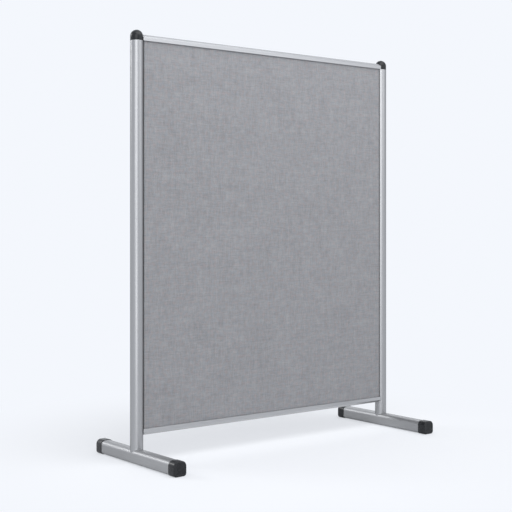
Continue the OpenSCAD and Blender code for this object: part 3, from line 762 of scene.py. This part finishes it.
def foot_end(side_name, end):
    """Moulded cap over one end of a foot: dished end, soft edges, walls, mouth and inner rim."""
    node = f"{side_name}_foot_{end}_cap"
    low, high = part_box(node)
    length = high.y - low.y
    size = (high.x - low.x, high.z)
    edge = [(FOOT_CAP_EDGE * (1 - math.cos(a)), FOOT_CAP_EDGE * (1 - math.sin(a)))
            for a in np.linspace(0, math.pi / 2, FOOT_EDGE_STEPS + 1)]
    stations = [(FOOT_DISH * share, inset) for share, inset in DISH_EDGE] + edge
    rim_y = FOOT_CAP_END + FOOT_RIM_LEN
    stations += [(length - MOUTH_R, 0), (length, MOUTH_R), (length, FOOT_CAP_WALL - MOUTH_R),
                 (length - MOUTH_R, FOOT_CAP_WALL), (FOOT_CAP_END, FOOT_CAP_WALL),
                 (FOOT_CAP_END, FOOT_RIM[0]), (rim_y, FOOT_RIM[0]), (rim_y, FOOT_RIM[1]),
                 (FOOT_CAP_END, FOOT_RIM[1])]
    closed_y, inwards = (low.y, 1) if end == "front" else (high.y, -1)
    middle = (low.x + high.x) / 2
    cap = Solid()
    cap.loft([[(middle + x, closed_y + inwards * y, z) for x, z in foot_ring(size, inset)]
              for y, inset in stations])
    make(f"{side_name}_foot_{end}_end", cap.vertices, cap.faces, "black_plastic",
         f"{side_name}_foot", node)


for side_name in SIDES:
    post_dome(side_name)
    for end in COVERS:
        foot_end(side_name, end)


# Rail screws

SCREW_COUNT = 4
SCREW_R = 0.002
SCREW_HEAD_R = 0.004
SCREW_HEAD_H = 0.0022
SCREW_EDGE = 0.0002
SCREW_POINT_LEN = 0.003
SCREW_TIP_R = 0.0004
SCREW_STEPS = 64
CROSS_ARM = (0.0022, 0.00055)    # reach and half width of the recess's arms, at its mouth
CROSS_FLOOR = (0.0009, 0.00035)  # and at its floor
CROSS_DEPTH = 0.0016


def cross_radius(angle, arm):
    """Distance from the middle of a cross recess to its edge."""
    reach, half = arm
    along = abs(math.cos(angle))
    beside = abs(math.sin(angle))
    return max(min(reach / along, half / beside), min(half / along, reach / beside))


def rail_screw(solid, x, head_y, z, length):
    """Countersunk screw with a cross recess, its head to the rear."""
    angles = [2 * math.pi * (k + 0.5) / SCREW_STEPS for k in range(SCREW_STEPS)]

    def ring(y, radii):
        return [(x + r * math.cos(a), head_y - y, z + r * math.sin(a))
                for a, r in zip(angles, radii)]

    def cross(y, arm):
        return ring(y, [cross_radius(a, arm) for a in angles])

    def circle(y, radius):
        return ring(y, [radius] * SCREW_STEPS)

    solid.loft([
        cross(CROSS_DEPTH, CROSS_FLOOR),
        cross(0.0, CROSS_ARM),
        circle(0.0, SCREW_HEAD_R - SCREW_EDGE),
        circle(SCREW_EDGE, SCREW_HEAD_R),
        circle(SCREW_HEAD_H, SCREW_R),
        circle(length - SCREW_POINT_LEN, SCREW_R),
        circle(length - SCREW_EDGE, SCREW_TIP_R),
    ])


def rail_screw_set():
    """The screws in the rear lips of both rails."""
    low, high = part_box("rail_screws")
    screws = Solid()
    for x in np.linspace(low.x + SCREW_HEAD_R, high.x - SCREW_HEAD_R, SCREW_COUNT):
        for z in (low.z + SCREW_HEAD_R, high.z - SCREW_HEAD_R):
            rail_screw(screws, float(x), high.y, z, high.y - low.y)
    make("rail_screw_set", screws.vertices, screws.faces, "zinc_steel", "screen", "rail_screws")


rail_screw_set()


# World, floor and lamps

PALE = (0.904, 0.931, 0.982)
SEEN = ("Is Camera Ray", "Is Glossy Ray", "Is Transmission Ray")
AMBIENT = 0.56
FLOOR_R = 60.0
FLOOR_STEPS = 96
FLOOR_DROP = 0.0002
FLOOR_NEAR = 0.55    # from this distance the floor fades into the background
FLOOR_FAR = 1.5      # from this distance it is the background
FLOOR_GLOW = 0.5     # share of the background that the camera sees even near by
FLOOR_COLOR = (0.93, 0.95, 0.99)
FLOOR_BOUNCE = (0.78, 0.79, 0.81)


def seen_mask(tree):
    """One where the camera, a reflection or a refraction looks, and nought for the rest."""
    path = tree.nodes.new("ShaderNodeLightPath")
    total = path.outputs[SEEN[0]]
    for name in SEEN[1:]:
        plus = tree.nodes.new("ShaderNodeMath")
        plus.operation = "MAXIMUM"
        tree.links.new(total, plus.inputs[0])
        tree.links.new(path.outputs[name], plus.inputs[1])
        total = plus.outputs[0]
    return total


def seen_or_lit(tree, lit, seen, output_kind):
    """Ends a tree with one shader for what is seen, and another for the light that bounces."""
    either = tree.nodes.new("ShaderNodeMixShader")
    output = tree.nodes.new(output_kind)
    tree.links.new(seen_mask(tree), either.inputs[0])
    tree.links.new(lit, either.inputs[1])
    tree.links.new(seen, either.inputs[2])
    tree.links.new(either.outputs[0], output.inputs["Surface"])


def colored(tree, kind, color, strength=None):
    made = tree.nodes.new(kind)
    made.inputs["Color"].default_value = (*color, 1)
    if strength is not None:
        made.inputs["Strength"].default_value = strength
    return made.outputs[0]


world = bpy.data.worlds.new("studio")
world.use_nodes = True
world.node_tree.nodes.clear()
bpy.context.scene.world = world
seen_or_lit(world.node_tree,
            colored(world.node_tree, "ShaderNodeBackground", (1.0, 1.0, 1.0), AMBIENT),
            colored(world.node_tree, "ShaderNodeBackground", PALE, 1.0),
            "ShaderNodeOutputWorld")

floor_mesh = bpy.data.meshes.new("floor")
work = bmesh.new()
bmesh.ops.create_circle(work, cap_ends=True, radius=FLOOR_R, segments=FLOOR_STEPS)
work.to_mesh(floor_mesh)
work.free()
floor = bpy.data.objects.new("floor", floor_mesh)
floor.location.z = -FLOOR_DROP
bpy.context.scene.collection.objects.link(floor)

floor_material = bpy.data.materials.new("floor")
floor_material.use_nodes = True
floor_mesh.materials.append(floor_material)
tree = floor_material.node_tree
tree.nodes.clear()
coords = tree.nodes.new("ShaderNodeTexCoord")
reach = tree.nodes.new("ShaderNodeVectorMath")
reach.operation = "LENGTH"
tree.links.new(coords.outputs["Object"], reach.inputs[0])
fade = tree.nodes.new("ShaderNodeMapRange")
fade.interpolation_type = "SMOOTHSTEP"
fade.inputs["From Min"].default_value = FLOOR_NEAR
fade.inputs["From Max"].default_value = FLOOR_FAR
glow = tree.nodes.new("ShaderNodeMath")
glow.operation = "MULTIPLY"
glow.inputs[1].default_value = FLOOR_GLOW
tree.links.new(tree.nodes.new("ShaderNodeLightPath").outputs["Is Camera Ray"], glow.inputs[0])
tree.links.new(glow.outputs[0], fade.inputs["To Min"])
tree.links.new(reach.outputs["Value"], fade.inputs["Value"])
near = tree.nodes.new("ShaderNodeMixShader")
tree.links.new(fade.outputs[0], near.inputs[0])
tree.links.new(colored(tree, "ShaderNodeBsdfDiffuse", FLOOR_COLOR), near.inputs[1])
tree.links.new(colored(tree, "ShaderNodeEmission", PALE), near.inputs[2])
seen_or_lit(tree, colored(tree, "ShaderNodeBsdfDiffuse", FLOOR_BOUNCE), near.outputs[0],
            "ShaderNodeOutputMaterial")


def lamp(name, kind, place, target, energy, **settings):
    """A lamp that the camera doesn't see."""
    data = bpy.data.lights.new(name, kind)
    data.energy = energy
    for key, value in settings.items():
        setattr(data, key, value)
    made = bpy.data.objects.new(name, data)
    made.location = place
    made.rotation_euler = (Vector(target) - Vector(place)).to_track_quat("-Z", "Y").to_euler()
    made.visible_camera = False
    bpy.context.scene.collection.objects.link(made)


def softbox(name, place, target, size, energy):
    lamp(name, "AREA", place, target, energy, shape="RECTANGLE", size=size[0], size_y=size[1])


SUN_DISTANCE = 6.0


def low_sun(azimuth, elevation, angle, energy):
    """A wide, weak sun from an azimuth seen from the front, where 0 looks along +Y."""
    a, e = math.radians(azimuth), math.radians(elevation)
    towards = Vector((math.sin(a) * math.cos(e), -math.cos(a) * math.cos(e), math.sin(e)))
    lamp("low_sun", "SUN", towards * SUN_DISTANCE, (0, 0, 0), energy, angle=math.radians(angle))


softbox("overhead", (-0.1, -1.3, 3.2), (0.0, 0.0, 0.9), (3.2, 2.4), 52)
softbox("back_left", (-4.9, 6.6, 4.2), (-0.6, 0.0, 0.3), (3.4, 2.4), 150)
softbox("back_right", (2.35, 3.0, 2.45), (0.1, 0.0, 1.5), (2.6, 1.2), 12)
softbox("front_right", (1.5, -2.9, 1.9), (0.1, 0.0, 1.2), (2.8, 1.4), 8)
softbox("low_front", (-1.35, -1.15, 0.42), (-0.6, 0.0, 0.42), (0.4, 0.7), 1.0)
low_sun(-38, 4, 45, 0.88)

bpy.context.scene.view_settings.view_transform = "Standard"
